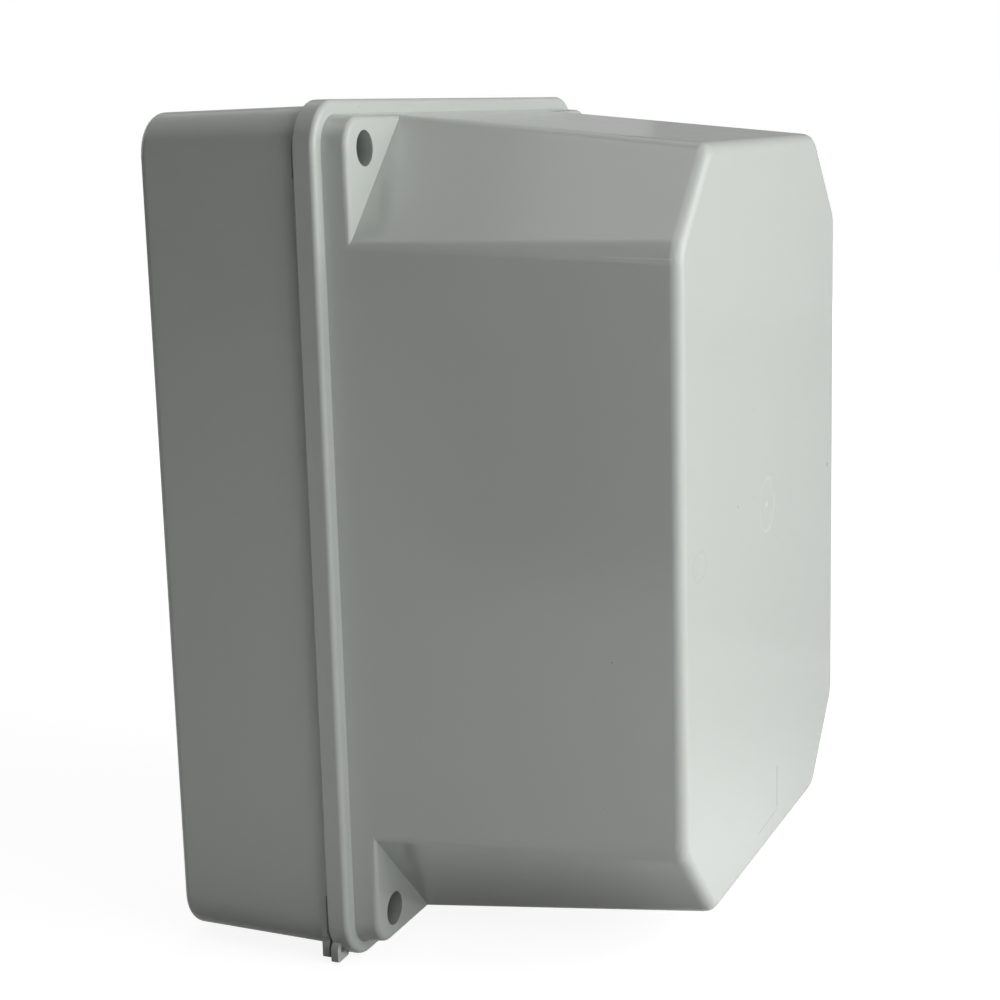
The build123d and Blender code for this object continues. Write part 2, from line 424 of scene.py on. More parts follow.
@dataclass(frozen=True)
class MouldedPlastic:
    """Finish of a moulded plastic or foam piece."""

    name: str
    colour: Colour
    speck_colour: Colour
    tint: float = 0.03
    roughness: float = 0.14
    gloss_patches: float = 0.03
    grain_scale: float = 1400.0
    specks: float = 0.10
    relief: float = 0.02 * MM
    bump: float = 0.5
    ior: float = 1.5
    marks: tuple[Hairline | Ring | WellDust, ...] = ()

    def material(self) -> bpy.types.Material:
        """Makes the node material, or finds it if it is there."""
        made = bpy.data.materials.get(self.name)
        if made:
            return made
        made = bpy.data.materials.new(self.name)
        made.use_nodes = True
        tree = Tree(made.node_tree)
        place = tree.place()
        grain = MouldGrain.placed(
            tree,
            {
                "Vector": place,
                "Color": (*self.colour, 1.0),
                "Speck Color": (*self.speck_colour, 1.0),
                "Tint": self.tint,
                "Roughness": self.roughness,
                "Gloss Patches": self.gloss_patches,
                "Grain Scale": self.grain_scale,
                "Specks": self.specks,
            },
        )
        colour, height = grain.outputs["Color"], grain.outputs["Height"]
        # Marks are laid over the colour: real marks, and on the lid also painted shade in the wells and
        # painted highlights.
        for mark in self.marks:
            mask = mark.mask(tree, place)
            colour = tree.mix(tree.math("MULTIPLY", mask, mark.strength), colour, (*mark.shade, 1.0))
            height = tree.math("ADD", height, tree.math("MULTIPLY", mask, mark.lift))
        raised = {"Strength": self.bump, "Distance": self.relief, "Height": height}
        normal = tree.first("ShaderNodeBump", raised)
        rough = grain.outputs["Roughness"]
        look = {"Base Color": colour, "Roughness": rough, "Normal": normal, "IOR": self.ior}
        tree.add("ShaderNodeOutputMaterial", {"Surface": tree.first("ShaderNodeBsdfPrincipled", look)})
        return made


FRONT = -159.6 * MM
# Dark colour of the real marks, also used for the painted shade in the screw wells.
DARK_MARK_AND_SHADE = (0.16, 0.17, 0.16)
# Colour of the painted highlight on the parting-line ridge.
RIDGE_HIGHLIGHT = (0.9, 0.9, 0.9)
# Colour of the painted highlights on the gate mark.
GATE_HIGHLIGHT = (0.74, 0.77, 0.74)
GATE_RADIUS = 8.4 * MM
WELL_X = 84.3 * MM
WELL_Z = 113.7 * MM
WELL_MOUTH = -66.1 * MM
WELL_RADIUS = 5.2 * MM
PAINTED_SHADE_DEPTH = 6.0 * MM


def on_front(x: float, z: float) -> Place:
    """Place on the lid's front, from millimetres across and up."""
    return (x * MM, FRONT, z * MM)


GATE = on_front(-1.0, 0.2)
WITNESS_LINES_AND_RIDGE_HIGHLIGHT = (
    Hairline(on_front(10.7, -89.6), on_front(10.7, -103.0), 0.5 * MM, DARK_MARK_AND_SHADE, 0.75, -1.5),
    Hairline(on_front(10.7, -104.0), on_front(-12.2, -104.7), 0.35 * MM, DARK_MARK_AND_SHADE, 0.3, -1.0),
    Hairline(on_front(5.8, -97.5), on_front(5.8, -109.5), 0.4 * MM, DARK_MARK_AND_SHADE, 0.12, -0.5),
    # A light line along the upper left fold: its lift is a real parting-line ridge, its lighter colour a
    # painted highlight.
    Hairline(
        (-88.6 * MM, -137.6 * MM, 83.8 * MM),
        (-86.6 * MM, -157.2 * MM, 83.0 * MM),
        0.3 * MM,
        RIDGE_HIGHLIGHT,
        0.8,
        1.5,
    ),
)
FAINT_OVAL = (
    Ring(on_front(-71.6, -4.0), 6.2 * MM, 1.4 * MM, DARK_MARK_AND_SHADE, 0.06, -1.5, (1.0, 1.0, 1.5)),
    Hairline(on_front(-73.4, -1.6), on_front(-75.4, -6.0), 1.2 * MM, DARK_MARK_AND_SHADE, 0.05),
)
# Painted highlights: a light ring along the rim of the gate mark and a light dot on its nub.
GATE_PAINTED_HIGHLIGHTS = (
    Ring(GATE, GATE_RADIUS, 0.6 * MM, GATE_HIGHLIGHT, 0.45),
    Ring(GATE, 0.0, 1.6 * MM, GATE_HIGHLIGHT, 0.8),
)
FRONT_SPECKS = (
    Ring(on_front(-33.5, 5.7), 0.0, 0.7 * MM, DARK_MARK_AND_SHADE, 0.7),
    Ring(on_front(76.7, -0.7), 0.0, 1.2 * MM, DARK_MARK_AND_SHADE, 0.7),
)
# Painted shade in the four screw wells, darker further down.
PAINTED_WELL_SHADE = tuple(
    WellDust((x, WELL_MOUTH, z), WELL_RADIUS, PAINTED_SHADE_DEPTH, DARK_MARK_AND_SHADE, 0.75)
    for x in (-WELL_X, WELL_X)
    for z in (-WELL_Z, WELL_Z)
)
LID_MARKS_AND_PAINTED_LIGHT = WITNESS_LINES_AND_RIDGE_HIGHLIGHT + FAINT_OVAL + GATE_PAINTED_HIGHLIGHTS + FRONT_SPECKS + PAINTED_WELL_SHADE
GREY = (0.563, 0.596, 0.563)
SPECK = (0.2, 0.2, 0.19)
BASE_GREY = MouldedPlastic("light_grey_base", GREY, SPECK)
LID_GREY = MouldedPlastic("light_grey_lid", GREY, SPECK, marks=LID_MARKS_AND_PAINTED_LIGHT)
SCREW_GREY = MouldedPlastic(
    "dark_grey_screw",
    (0.07, 0.074, 0.074),
    (0.02, 0.02, 0.02),
    roughness=0.4,
    grain_scale=2200.0,
)
GASKET_EDGE = 0.4 * MM
GASKET_FOAM = MouldedPlastic(
    "black_foam_gasket",
    (0.028, 0.028, 0.029),
    (0.09, 0.09, 0.09),
    tint=0.2,
    roughness=0.85,
    grain_scale=2600.0,
    specks=0.6,
    relief=0.1 * MM,
)


class Bench:
    """Modelling operators that every piece uses."""

    @staticmethod
    def take(piece: bpy.types.Object) -> None:
        """Leaves one object selected and active, in object mode."""
        if bpy.context.object and bpy.context.object.mode != "OBJECT":
            bpy.ops.object.mode_set(mode="OBJECT")
        bpy.ops.object.select_all(action="DESELECT")
        piece.select_set(True)
        bpy.context.view_layer.objects.active = piece

    @staticmethod
    def edit(piece: bpy.types.Object) -> None:
        """Opens a piece in edit mode with all of it selected."""
        Bench.take(piece)
        bpy.ops.object.mode_set(mode="EDIT")
        bpy.ops.mesh.select_all(action="SELECT")

    @staticmethod
    def done() -> None:
        """Goes back to object mode."""
        bpy.ops.object.mode_set(mode="OBJECT")

    @staticmethod
    def pick(piece: bpy.types.Object, kind: Element, test: Callable[[Any], bool]) -> int:
        """Selects the edges or faces that pass a test, in edit mode.

        Args:
            piece: the piece that is open in edit mode.
            kind: what is selected.
            test: says whether an edge or face is wanted.

        Returns:
            How many are selected.
        """
        bpy.ops.mesh.select_mode(type=kind.name)
        bpy.ops.mesh.select_all(action="DESELECT")
        mesh = bmesh.from_edit_mesh(piece.data)
        wanted = [part for part in getattr(mesh, kind.value) if test(part)]
        for part in wanted:
            part.select_set(True)
        bmesh.update_edit_mesh(piece.data)
        return len(wanted)

    @staticmethod
    def round_picked(width: float, steps: int, clamp: bool = True) -> None:
        """Rounds the selected edges, in edit mode; each face gives way by the width."""
        bpy.ops.mesh.bevel(offset=width, segments=steps, profile=0.5, affect="EDGES", clamp_overlap=clamp)

    @staticmethod
    def is_sharp(edge: bmesh.types.BMEdge, sharp_deg: float) -> bool:
        """Says whether an edge points outward and is sharper than an angle."""
        if len(edge.link_faces) != 2 or not edge.is_convex:
            return False
        return edge.calc_face_angle(0.0) > math.radians(sharp_deg)

    @staticmethod
    def at_depth(edge: bmesh.types.BMEdge, depth: float) -> bool:
        """Says whether both ends of an edge lie at one depth."""
        return all(abs(point.co.y - depth) < TOUCH for point in edge.verts)

    @staticmethod
    def block(middle: Vector | Place, size: Vector | Place) -> bpy.types.Object:
        """Adds a block with its lengths along the three axes."""
        bpy.ops.mesh.primitive_cube_add(size=1.0, location=middle)
        made = bpy.context.object
        made.scale = size
        Bench.settle(made)
        return made

    @staticmethod
    def rod(middle: Place, radius: float, depth: float, sides: int) -> bpy.types.Object:
        """Adds a round rod that runs along the depth."""
        turn = (math.pi / 2.0, 0.0, 0.0)
        bpy.ops.mesh.primitive_cylinder_add(
            vertices=sides, radius=radius, depth=depth, location=middle, rotation=turn
        )
        made = bpy.context.object
        Bench.settle(made)
        return made

    @staticmethod
    def apply(piece: bpy.types.Object, kind: str, **settings: Any) -> None:
        """Adds a modifier to a piece and applies it.

        Args:
            piece: the piece.
            kind: type name of the modifier.
            settings: settings of the modifier.
        """
        Bench.take(piece)
        added = piece.modifiers.new(kind.lower(), kind)
        for name, value in settings.items():
            setattr(added, name, value)
        bpy.ops.object.modifier_apply(modifier=added.name)

    @staticmethod
    def join(piece: bpy.types.Object, tool: bpy.types.Object, operation: str) -> None:
        """Cuts a piece with a tool body, or joins the tool to it, and removes the tool.

        Args:
            piece: the piece that is changed.
            tool: closed body that cuts or is added.
            operation: DIFFERENCE or UNION.
        """
        Bench.apply(piece, "BOOLEAN", object=tool, operation=operation, solver="EXACT")
        mesh = tool.data
        bpy.data.objects.remove(tool)
        bpy.data.meshes.remove(mesh)

    @staticmethod
    def settle(piece: bpy.types.Object) -> None:
        """Moves an object's place, turn and size into its mesh."""
        Bench.take(piece)
        bpy.ops.object.transform_apply(location=True, rotation=True, scale=True)

    @staticmethod
    def round_sharp_edges(piece: bpy.types.Object, width: float, sharp_deg: float, steps: int) -> None:
        """Breaks the outward edges of a piece that are sharper than an angle."""
        Bench.edit(piece)
        Bench.pick(piece, Element.EDGE, lambda edge: Bench.is_sharp(edge, sharp_deg))
        Bench.round_picked(width, steps)
        Bench.done()

    @staticmethod
    def shade(piece: bpy.types.Object, smooth_deg: float) -> None:
        """Shades a piece smooth across edges up to an angle, with flat faces kept flat."""
        Bench.take(piece)
        bpy.ops.object.shade_smooth_by_angle(angle=math.radians(smooth_deg))
        Bench.apply(piece, "WEIGHTED_NORMAL", mode="FACE_AREA", weight=100, keep_sharp=True)


@dataclass
class MouldedShell:
    """A moulded piece: the shape of its CAD node, with its sharp edges broken as a mould leaves them."""

    node: str
    body: str
    slot: Slot
    finish: MouldedPlastic
    edge_break: float = 0.2 * MM
    edge_steps: int = 2
    sharp_deg: float = 28.0
    flat_deg: float = 0.2
    merge: float = TOUCH

    def build(self, frame: Frame) -> bpy.types.Object:
        """Models and dresses the piece.

        Args:
            frame: the loaded frame.

        Returns:
            The finished object.
        """
        shell = self._copy(frame["nodes"][self.node])
        self.add_details(shell)
        Bench.round_sharp_edges(shell, self.edge_break, self.sharp_deg, self.edge_steps)
        Bench.shade(shell, self.sharp_deg)
        shell.data.materials.clear()
        shell.data.materials.append(self.finish.material())
        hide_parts(self.node)
        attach(shell, self.body)
        return shell

    def _copy(self, source: bpy.types.Object) -> bpy.types.Object:
        """Copies the node's mesh into a new object, joined up and with its flat faces whole."""
        shell = bpy.data.objects.new(f"{self.node}_moulding", source.data.copy())
        bpy.context.scene.collection.objects.link(shell)
        Bench.take(shell)
        if shell.data.has_custom_normals:
            bpy.ops.mesh.customdata_custom_splitnormals_clear()
        Bench.edit(shell)
        bpy.ops.mesh.remove_doubles(threshold=self.merge)
        bpy.ops.mesh.dissolve_limited(angle_limit=math.radians(self.flat_deg))
        Bench.done()
        return shell

    def add_details(self, shell: bpy.types.Object) -> None:
        """Models what the CAD node leaves out; a plain moulding has nothing to add."""


@dataclass(frozen=True)
class SealCorner:
    """The lower left corner, where the plates for a seal wire stand out of the rounded outlines."""

    reach_x: float = -97.0 * MM
    reach_z: float = -121.5 * MM
    hole_x: float = -97.0 * MM
    hole_z: float = -123.5 * MM
    hole_radius: float = 1.3 * MM
    inner_x: float = -90.0 * MM
    inner_z: float = -115.0 * MM
    depthward: float = 0.95
    sharp_deg: float = 28.0
    steps: int = 5

    def soften(self, shell: bpy.types.Object, rounding: float) -> None:
        """Rounds the corners of the plate on a shell, which run along the depth."""
        Bench.edit(shell)
        if Bench.pick(shell, Element.EDGE, self._is_plate_corner):
            Bench.round_picked(rounding, self.steps)
        Bench.done()

    def _is_plate_corner(self, edge: bmesh.types.BMEdge) -> bool:
        """Says whether an edge is an outer corner of the plate: sharp, along the depth, not in the hole."""
        first, second = (v.co for v in edge.verts)
        along = (first - second).normalized()
        middle = (first + second) / 2.0
        if abs(along.y) < self.depthward or not Bench.is_sharp(edge, self.sharp_deg):
            return False
        in_hole = math.hypot(middle.x - self.hole_x, middle.z - self.hole_z) < self.hole_radius
        in_corner = middle.x < self.inner_x and middle.z < self.inner_z
        outside = middle.x < self.reach_x or middle.z < self.reach_z
        return in_corner and outside and not in_hole


SEAL_CORNER = SealCorner()


@dataclass
class Base(MouldedShell):
    """The rear box, with its front edge eased beside each corner and a long, rounded seal tab."""

    side: float = 99.3 * MM
    edge_depth: float = 51.2 * MM
    relief_middle: float = 112.0 * MM
    relief_length: float = 12.0 * MM
    relief_width: float = 0.5 * MM
    relief_sink: float = 0.9 * MM
    tab_rounding: float = 1.2 * MM
    tab_low: Place = (-99.28 * MM, -51.2 * MM, -119.5 * MM)
    tab_high: Place = (-92.3 * MM, -48.9 * MM, -113.0 * MM)

    def add_details(self, shell: bpy.types.Object) -> None:
        """Lengthens the seal tab, eases the front edge beside the corners and rounds the tab."""
        low, high = Vector(self.tab_low), Vector(self.tab_high)
        Bench.join(shell, Bench.block((low + high) / 2.0, high - low), "UNION")
        relief = (2.0 * self.relief_sink, 2.0 * self.relief_width, self.relief_length)
        for across, up in (corner.value for corner in Corner):
            middle = (across * self.side, -self.edge_depth, up * self.relief_middle)
            Bench.join(shell, Bench.block(middle, relief), "DIFFERENCE")
        SEAL_CORNER.soften(shell, self.tab_rounding)


@dataclass(frozen=True)
class DraftedWall:
    """An outer wall of the lid: where it faces, how far out it meets the ledge, and its draft."""

    outward: Place
    reach: float
    draft_deg: float
    ledge: float = -58.6 * MM

    @property
    def normal(self) -> Vector:
        """Outward normal of the wall."""
        draft = math.radians(self.draft_deg)
        return Vector(self.outward) * math.cos(draft) - Vector((0.0, math.sin(draft), 0.0))

    @property
    def distance(self) -> float:
        """Distance of the wall's plane from the origin."""
        return self.normal.dot(Vector(self.outward) * self.reach + Vector((0.0, self.ledge, 0.0)))


@dataclass(frozen=True)
class LidContour:
    """Roundings of the lid's outside, brought from the solid's radius to that of the moulding."""

    side_reach: float = 96.3 * MM
    side_draft_deg: float = 5.6
    end_reach: float = 123.4 * MM
    end_draft_deg: float = 6.05
    chamfer_reach: float = 130.04 * MM
    chamfer_draft_deg: float = 4.9
    fold: float = 4.5 * MM
    soft_fold: float = 10.0 * MM
    front: float = 3.2 * MM
    soft_front: float = 3.8 * MM
    front_turn: float = -156.4 * MM
    front_start: float = 0.2 * MM
    fold_start: float = -100.0 * MM
    flange: float = 2.2 * MM
    crisp_flange: float = 1.6 * MM
    flange_turn: float = -56.4 * MM
    flange_half: tuple[float, float] = (101.0 * MM, 127.5 * MM)
    flange_corner: float = 14.5 * MM
    slack: float = 0.04 * MM
    facing_slack: float = 0.004
    lift_slack: float = 0.02

    def shape(self, lid: bpy.types.Object) -> int:
        """Moves the points of the lid's roundings to their new radius and returns how many moved."""
        moved = 0
        Bench.edit(lid)
        mesh = bmesh.from_edit_mesh(lid.data)
        half = math.sqrt(0.5)
        for across, up in (corner.value for corner in Corner):
            slanted = (across * half, 0.0, up * half)
            chamfer = DraftedWall(slanted, self.chamfer_reach, self.chamfer_draft_deg)
            side = DraftedWall((across, 0.0, 0.0), self.side_reach, self.side_draft_deg)
            end = DraftedWall((0.0, 0.0, up), self.end_reach, self.end_draft_deg)
            moved += self._soften_fold(mesh, side, chamfer) + self._soften_fold(mesh, end, chamfer)
        moved += self._sharpen_flange(mesh)
        bmesh.update_edit_mesh(lid.data)
        Bench.done()
        return moved

    def _soften_fold(self, mesh: bmesh.types.BMesh, first: DraftedWall, second: DraftedWall) -> int:
        """Widens the rounding between two walls.

        Args:
            mesh: the open mesh.
            first: one wall.
            second: the other wall.

        Returns:
            How many points moved.
        """
        one, two = first.normal, second.normal
        along = one.cross(two).normalized()
        rows = Matrix((one, two, along))
        start = rows.inverted() @ Vector((first.distance - self.fold, second.distance - self.fold, 0.0))
        inward = (one + two) / (1.0 + one.dot(two))
        middle = (one + two).normalized()
        reach = middle.dot(one) - self.facing_slack
        axis = start + along * ((self.front_turn - start.y) / along.y)
        moved = 0
        for point in mesh.verts:
            sunk = self.front_turn - point.co.y
            away = point.co - (axis if sunk > self.front_start else start)
            if sunk > self.front_start:
                away.y = 0.0
                wide = self.fold - self.front + math.sqrt(max(0.0, self.front ** 2 - sunk ** 2))
            else:
                away -= along * away.dot(along)
                wide = self.fold
            if abs(away.length - wide) > self.slack or point.co.y > self.fold_start:
                continue
            facing = (away - along * away.dot(along)).normalized()
            if facing.dot(middle) < reach:
                continue
            step = (inward - facing) * (self.fold - self.soft_fold)
            point.co += Vector((step.x, 0.0, step.z))
            if sunk > self.front_start:
                point.co += self._front_step(away, facing, sunk)
            moved += 1
        return moved

    def _front_step(self, away: Vector, facing: Vector, sunk: float) -> Vector:
        """Works out how a point of the front edge's rounding moves as that rounding grows.

        Args:
            away: level direction from the fold's axis to the point.
            facing: normal of the wall beside the point.
            sunk: how far the point lies in front of the rounding's axis.

        Returns:
            The move.
        """
        ahead = Vector((0.0, -1.0, 0.0))
        rise = min(1.0, sunk / self.front)
        turned = away.normalized() * math.sqrt(1.0 - rise * rise) + ahead * rise
        inward = (facing + ahead) / (1.0 + facing.dot(ahead))
        return (inward - turned) * (self.front - self.soft_front)

    def _sharpen_flange(self, mesh: bmesh.types.BMesh) -> int:
        """Tightens the rounding around the flange's front edge and returns how many points moved."""
        moved = 0
        gain = self.flange - self.crisp_flange
        for point in mesh.verts:
            lift = (self.flange_turn - point.co.y) / self.flange
            if not -self.lift_slack <= lift <= 1.0 + self.lift_slack:
                continue
            inner = [half - self.flange_corner for half in self.flange_half]
            flat = Vector((point.co.x, point.co.z))
            core = Vector([max(-limit, min(limit, value)) for limit, value in zip(inner, flat)])
            out = flat - core
            lift = max(0.0, min(1.0, lift))
            side = math.sqrt(1.0 - lift * lift)
            if abs(out.length - (self.flange_corner - self.flange * (1.0 - side))) > self.slack:
                continue
            out.normalize()
            point.co += Vector((out.x * (1.0 - side), lift - 1.0, out.y * (1.0 - side))) * gain
            moved += 1
        return moved


@dataclass
class Lid(MouldedShell):
    """The deep lid, with the round gate mark in the middle of its front and a rounded seal lug."""

    gate_radius: float = GATE_RADIUS
    gate_depth: float = 0.12 * MM
    gate_rounding: float = 0.08 * MM
    gate_sides: int = 96
    gate_steps: int = 4
    nub_radius: float = 1.3 * MM
    nub_height: float = 0.1 * MM
    nub_sides: int = 32
    lug_rounding: float = 1.4 * MM

    def add_details(self, shell: bpy.types.Object) -> None:
        """Rounds the seal lug, sinks the gate mark and leaves the nub of the gate in its middle."""
        LOG.info("%d points of the lid's roundings moved", LidContour().shape(shell))
        SEAL_CORNER.soften(shell, self.lug_rounding)
        x, front, z = GATE
        floor = front + self.gate_depth
        tall = 4.0 * self.gate_depth
        cutter = Bench.rod((x, floor - tall / 2.0, z), self.gate_radius, tall, self.gate_sides)
        Bench.edit(cutter)
        Bench.pick(cutter, Element.EDGE, lambda edge: Bench.at_depth(edge, floor))
        Bench.round_picked(self.gate_rounding, self.gate_steps, clamp=False)
        Bench.done()
        Bench.join(shell, cutter, "DIFFERENCE")
        bpy.ops.mesh.primitive_uv_sphere_add(
            segments=self.nub_sides,
            ring_count=self.nub_sides // 2,
            radius=self.nub_radius,
            location=(x, floor, z),
        )
        nub = bpy.context.object
        nub.scale = (1.0, self.nub_height / self.nub_radius, 1.0)
        Bench.settle(nub)
        Bench.join(shell, nub, "UNION")


@dataclass
class LidScrew:
    """A quarter-turn screw: slotted head, shank and two lugs."""

    finish: MouldedPlastic
    head_height: float = 4.0 * MM
    shank_radius: float = 3.0 * MM
    slot_width: float = 1.6 * MM
    slot_depth: float = 2.2 * MM
    lug_width: float = 3.4 * MM
    lug_height: float = 2.6 * MM
    rim_rounding: float = 0.7 * MM
    rim_steps: int = 5
    edge_break: float = 0.15 * MM
    edge_steps: int = 2
    sharp_deg: float = 35.0
    rearward: float = 0.9
    sides: int = 64

    def build(self, corners: tuple[Corner, ...]) -> list[bpy.types.Object]:
        """Models one screw and copies it to every corner.

        Args:
            corners: the corners that have a screw; the first is modelled.

        Returns:
            The finished objects.
        """
        first = corners[0]
        pattern = self._model(*(Vector(c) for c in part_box(first.screw)))
        start = self._middle(first)
        made = []
        for corner in corners:
            mesh = pattern.data.copy()
            mesh.transform(Matrix.Translation(self._middle(corner) - start))
            screw = bpy.data.objects.new(f"{corner.screw}_piece", mesh)
            bpy.context.scene.collection.objects.link(screw)
            screw.data.materials.append(self.finish.material())
            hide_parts(corner.screw)
            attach(screw, corner.screw)
            made.append(screw)
        spare = pattern.data
        bpy.data.objects.remove(pattern)
        bpy.data.meshes.remove(spare)
        return made

    @staticmethod
    def _middle(corner: Corner) -> Vector:
        """Middle of the box of a corner's screw."""
        low, high = (Vector(c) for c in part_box(corner.screw))
        return (low + high) / 2.0

    def _model(self, low: Vector, high: Vector) -> bpy.types.Object:
        """Models the screw inside the box of its CAD node.

        Args:
            low: lowest corner of the box.
            high: highest corner of the box.

        Returns:
            The undressed screw.
        """
        middle = (low + high) / 2.0
        head_radius = (high.z - low.z) / 2.0
        seat = low.y + self.head_height
        place = (middle.x, (low.y + seat) / 2.0, middle.z)
        screw = Bench.rod(place, head_radius, self.head_height, self.sides)
        Bench.edit(screw)
        Bench.pick(screw, Element.FACE, lambda face: face.normal.y > self.rearward)
        bpy.ops.mesh.inset(thickness=head_radius - self.shank_radius)
        bpy.ops.mesh.extrude_region_move(TRANSFORM_OT_translate={"value": (0.0, high.y - seat, 0.0)})
        Bench.pick(screw, Element.EDGE, lambda edge: Bench.at_depth(edge, low.y))
        Bench.round_picked(self.rim_rounding, self.rim_steps, clamp=False)
        Bench.done()
        self._add_lugs(screw, middle, low, high)
        self._cut_slot(screw, middle, low, head_radius)
        Bench.round_sharp_edges(screw, self.edge_break, self.sharp_deg, self.edge_steps)
        Bench.shade(screw, self.sharp_deg)
        return screw

    def _add_lugs(self, screw: bpy.types.Object, middle: Vector, low: Vector, high: Vector) -> None:
        """Adds the bar that forms the two lugs at the shank's end."""
        place = (middle.x, high.y - self.lug_height / 2.0, middle.z)
        bar = Bench.block(place, (high.x - low.x, self.lug_height, self.lug_width))
        Bench.join(screw, bar, "UNION")

    def _cut_slot(self, screw: bpy.types.Object, middle: Vector, low: Vector, head_radius: float) -> None:
        """Cuts the driver slot across the head."""
        place = (middle.x, low.y, middle.z)
        blade = Bench.block(place, (3.0 * head_radius, 2.0 * self.slot_depth, self.slot_width))
        Bench.join(screw, blade, "DIFFERENCE")


@dataclass(frozen=True)
class PaleFloor:
    """Finish of the studio floor: white to look at, with the object's shadow.

    In the gloss of the object it shows as a white sheet under the object, with a greyer floor around
    it and a dark mat beside the camera. In the light it throws back at the object it holds a painted
    shadow: black close to where the object stands, pale further out.
    """

    name: str = "pale_floor"
    bounce_near: float = 0.0
    bounce_far: float = 0.85
    bounce_start: float = 0.0
    bounce_end: float = 0.03
    footprint: tuple[float, float, float] = (0.1, 0.08, -0.08)
    shadow_share: float = 0.3
    near_glow: float = 0.9
    far_glow: float = 1.0
    near: float = 0.25
    far: float = 0.7
    sheet: float = 0.46
    bright_sheet: float = 1.0
    bright_until: float = -0.02
    bright_gone: float = 0.22
    around: float = 0.35
    mat: float = 0.06
    room_light: float = 0.3
    sheet_right: float = 0.285
    sheet_left: float = -0.585
    sheet_blur: float = 0.006
    mat_edge: tuple[float, float] = (-0.128, -0.277)
    mat_blur: float = 0.02
    mat_fade: tuple[float, float] = (-0.5, -0.06)
    mat_faded: float = 0.35

    def material(self) -> bpy.types.Material:
        """Makes the floor's node material."""
        made = bpy.data.materials.new(self.name)
        made.use_nodes = True
        tree = Tree(made.node_tree)
        seen, bounced = tree.rays()
        # The light the floor throws back at the object carries a painted shadow near the object.
        dull_with_painted_shadow = tree.first("ShaderNodeBsdfDiffuse", {"Color": self._bounce(tree)})
        lit = tree.first("ShaderNodeBsdfDiffuse", {"Color": self._grey(self.shadow_share)})
        glow = tree.first("ShaderNodeEmission", {"Color": WHITE, "Strength": self._whiteness(tree)})
        pale = tree.first("ShaderNodeAddShader", {0: lit, 1: glow})
        layout = self._layout(tree)
        by_lamps = tree.first("ShaderNodeBsdfDiffuse", {"Color": layout})
        by_room = tree.first("ShaderNodeEmission", {"Color": layout, "Strength": self.room_light})
        mirrored = tree.first("ShaderNodeAddShader", {0: by_lamps, 1: by_room})
        unseen = tree.first("ShaderNodeMixShader", {0: bounced, 1: dull_with_painted_shadow, 2: mirrored})
        both = tree.first("ShaderNodeMixShader", {0: seen, 1: unseen, 2: pale})
        tree.add("ShaderNodeOutputMaterial", {"Surface": both})
        return made

    @staticmethod
    def _grey(value: float) -> tuple[float, float, float, float]:
        """A neutral colour of one value."""
        return (value, value, value, 1.0)

    def _whiteness(self, tree: Tree) -> bpy.types.NodeSocket:
        """Adds the strength of the floor's own white, which is full away from the object."""
        away = tree.vector("LENGTH", tree.place()).outputs[1]
        return tree.remap(away, self.near, self.far, self.near_glow, self.far_glow)

    def _bounce(self, tree: Tree) -> bpy.types.NodeSocket:
        """Adds the grey that throws light back at the object, with a painted shadow: black close to where
        it stands, pale further out.
        """
        split = tree.axes()
        half_x, half_y, middle_y = self.footprint
        out_x = tree.math("MAXIMUM", tree.math("SUBTRACT", tree.math("ABSOLUTE", split[0]), half_x), 0.0)
        from_y = tree.math("ABSOLUTE", tree.math("SUBTRACT", split[1], middle_y))
        out_y = tree.math("MAXIMUM", tree.math("SUBTRACT", from_y, half_y), 0.0)
        squares = tree.math("ADD", tree.math("POWER", out_x, 2.0), tree.math("POWER", out_y, 2.0))
        away = tree.math("SQRT", squares)
        share = tree.remap(away, self.bounce_start, self.bounce_end, 0.0, 1.0)
        return tree.mix(share, self._grey(self.bounce_near), self._grey(self.bounce_far))

    def _layout(self, tree: Tree) -> bpy.types.NodeSocket:
        """Adds the layout of sheet, floor and mat, and returns its colour socket."""
        split = tree.axes()
        soft = self.sheet_blur
        inside = tree.remap(split[0], self.sheet_right - soft, self.sheet_right + soft, 1.0, 0.0)
        past_left = tree.remap(split[0], self.sheet_left - soft, self.sheet_left + soft, 1.0, 0.0)
        start, slope = self.mat_edge
        edge = tree.math("SUBTRACT", split[1], tree.math("MULTIPLY_ADD", split[0], slope, start))
        right_of_edge = tree.remap(edge, -self.mat_blur, 0.0, 1.0, 0.0)
        fade = tree.remap(edge, *self.mat_fade, self.mat_faded, 1.0)
        dark = tree.math("MULTIPLY", tree.math("MULTIPLY", past_left, right_of_edge), fade)
        beside = tree.remap(split[0], self.bright_until, self.bright_gone, 1.0, 0.0)
        paper = tree.mix(beside, self._grey(self.sheet), self._grey(self.bright_sheet))
        ground = tree.mix(inside, self._grey(self.around), paper)
        return tree.mix(dark, ground, self._grey(self.mat))


@dataclass(frozen=True)
class SoftBox:
    """A rectangular studio lamp that faces a point of the object."""

    name: str
    place: Place
    aim: Place
    width: float
    height: float
    power: float
    in_gloss: bool = True
    spread_deg: float = 180.0

    def build(self) -> None:
        """Adds the lamp to the scene."""
        lamp = bpy.data.lights.new(self.name, "AREA")
        lamp.shape = "RECTANGLE"
        lamp.size = self.width
        lamp.size_y = self.height
        lamp.energy = self.power
        lamp.spread = math.radians(self.spread_deg)
        made = bpy.data.objects.new(self.name, lamp)
        bpy.context.scene.collection.objects.link(made)
        made.location = self.place
        toward = Vector(self.aim) - Vector(self.place)
        made.rotation_mode = "QUATERNION"
        made.rotation_quaternion = toward.to_track_quat("-Z", "Y")
        made.visible_camera = False
        made.visible_glossy = self.in_gloss


